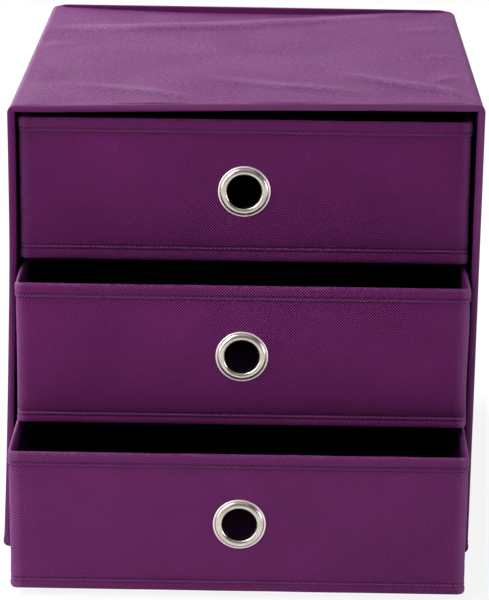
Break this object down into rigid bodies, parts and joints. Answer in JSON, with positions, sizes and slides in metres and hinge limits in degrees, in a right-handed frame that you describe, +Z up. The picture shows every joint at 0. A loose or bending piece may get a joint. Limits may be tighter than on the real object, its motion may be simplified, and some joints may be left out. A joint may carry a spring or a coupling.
{
  "type": "fabric storage box with drawers",
  "caption": "Open-fronted cube casing of cloth over board holding stacked cloth drawers, each pulled out by a round metal eyelet in its front.",
  "frame": {"origin": "middle of the casing's base, on the face that it stands on", "axes": "+Z up, -Y out of the open front, the way the drawers are pulled, +X to the right of someone who faces the front"},
  "size_m": [0.32, 0.4, 0.32],
  "materials": {
    "cover_cloth": "purple point-bonded non-woven cloth, matte",
    "binding_cloth": "purple non-woven strip, folded and sewn",
    "lining_cloth": "purple non-woven lining, matte",
    "greyboard": "uncoated greyboard",
    "nickel": "satin nickel plate"
  },
  "bodies": {
    "casing": {"base_cover": "cover_cloth", "base_band": "binding_cloth", "left_cover": "cover_cloth", "right_cover": "cover_cloth", "top_cover": "cover_cloth", "back_cover": "cover_cloth", "base_board": "greyboard", "left_board": "greyboard", "right_board": "greyboard", "top_board": "greyboard", "back_board": "greyboard", "base_lining": "lining_cloth", "left_lining": "lining_cloth", "right_lining": "lining_cloth", "top_lining": "lining_cloth", "back_lining": "lining_cloth", "front_binding": "binding_cloth", "lower_shelf_cover": "lining_cloth", "lower_shelf_board": "greyboard", "upper_shelf_cover": "lining_cloth", "upper_shelf_board": "greyboard"},
    "bottom_drawer": {"bottom_drawer_wall_cover": "cover_cloth", "bottom_drawer_base_cover": "cover_cloth", "bottom_drawer_lining": "lining_cloth", "bottom_drawer_rim_binding": "binding_cloth", "bottom_drawer_front_board": "greyboard", "bottom_drawer_back_board": "greyboard", "bottom_drawer_left_board": "greyboard", "bottom_drawer_right_board": "greyboard", "bottom_drawer_base_board": "greyboard", "bottom_drawer_eyelet": "nickel", "bottom_drawer_eyelet_washer": "nickel"},
    "middle_drawer": {"middle_drawer_wall_cover": "cover_cloth", "middle_drawer_base_cover": "cover_cloth", "middle_drawer_lining": "lining_cloth", "middle_drawer_rim_binding": "binding_cloth", "middle_drawer_front_board": "greyboard", "middle_drawer_back_board": "greyboard", "middle_drawer_left_board": "greyboard", "middle_drawer_right_board": "greyboard", "middle_drawer_base_board": "greyboard", "middle_drawer_eyelet": "nickel", "middle_drawer_eyelet_washer": "nickel"},
    "top_drawer": {"top_drawer_wall_cover": "cover_cloth", "top_drawer_base_cover": "cover_cloth", "top_drawer_lining": "lining_cloth", "top_drawer_rim_binding": "binding_cloth", "top_drawer_front_board": "greyboard", "top_drawer_back_board": "greyboard", "top_drawer_left_board": "greyboard", "top_drawer_right_board": "greyboard", "top_drawer_base_board": "greyboard", "top_drawer_eyelet": "nickel", "top_drawer_eyelet_washer": "nickel"}
  },
  "joints": [
    {"name": "bottom_drawer_slide", "type": "slide", "parent": "casing", "child": "bottom_drawer", "axis": [0, -1, 0], "range_m": [-0.081, 0.159]},
    {"name": "middle_drawer_slide", "type": "slide", "parent": "casing", "child": "middle_drawer", "axis": [0, -1, 0], "range_m": [-0.039, 0.201]},
    {"name": "top_drawer_slide", "type": "slide", "parent": "casing", "child": "top_drawer", "axis": [0, -1, 0], "range_m": [0, 0.24]}
  ]
}
